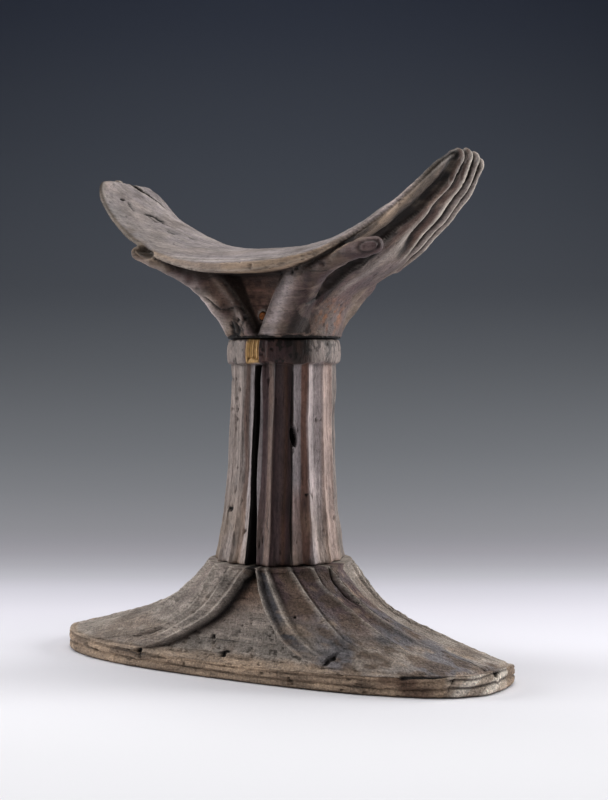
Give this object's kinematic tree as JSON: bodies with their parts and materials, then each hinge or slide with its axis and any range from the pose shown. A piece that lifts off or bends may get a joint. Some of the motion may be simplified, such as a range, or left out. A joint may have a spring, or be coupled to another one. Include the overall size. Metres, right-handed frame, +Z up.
{
  "type": "carved headrest",
  "caption": "Ancient Egyptian style wooden headrest: a boat-shaped foot, a fluted column with a collar and a curved neck support held up by carved hands.",
  "frame": {"origin": "on the ground, under the middle of the foot", "axes": "+X along the foot towards the right-hand tip, +Y towards the back, +Z up"},
  "size_m": [0.1988, 0.078, 0.2024],
  "materials": {
    "foot_wood": "matt, weathered and pitted, dark brown-grey",
    "column_wood": "matt, worn smooth on the ridges, purple-brown",
    "rest_wood": "dry and worn, pale grey-beige on top, brown below",
    "peg_wood": "matt orange-brown end grain"
  },
  "bodies": {
    "root": {"base": "foot_wood", "column": "column_wood", "pillow": "rest_wood", "locking_peg": "peg_wood"}
  },
  "joints": []
}
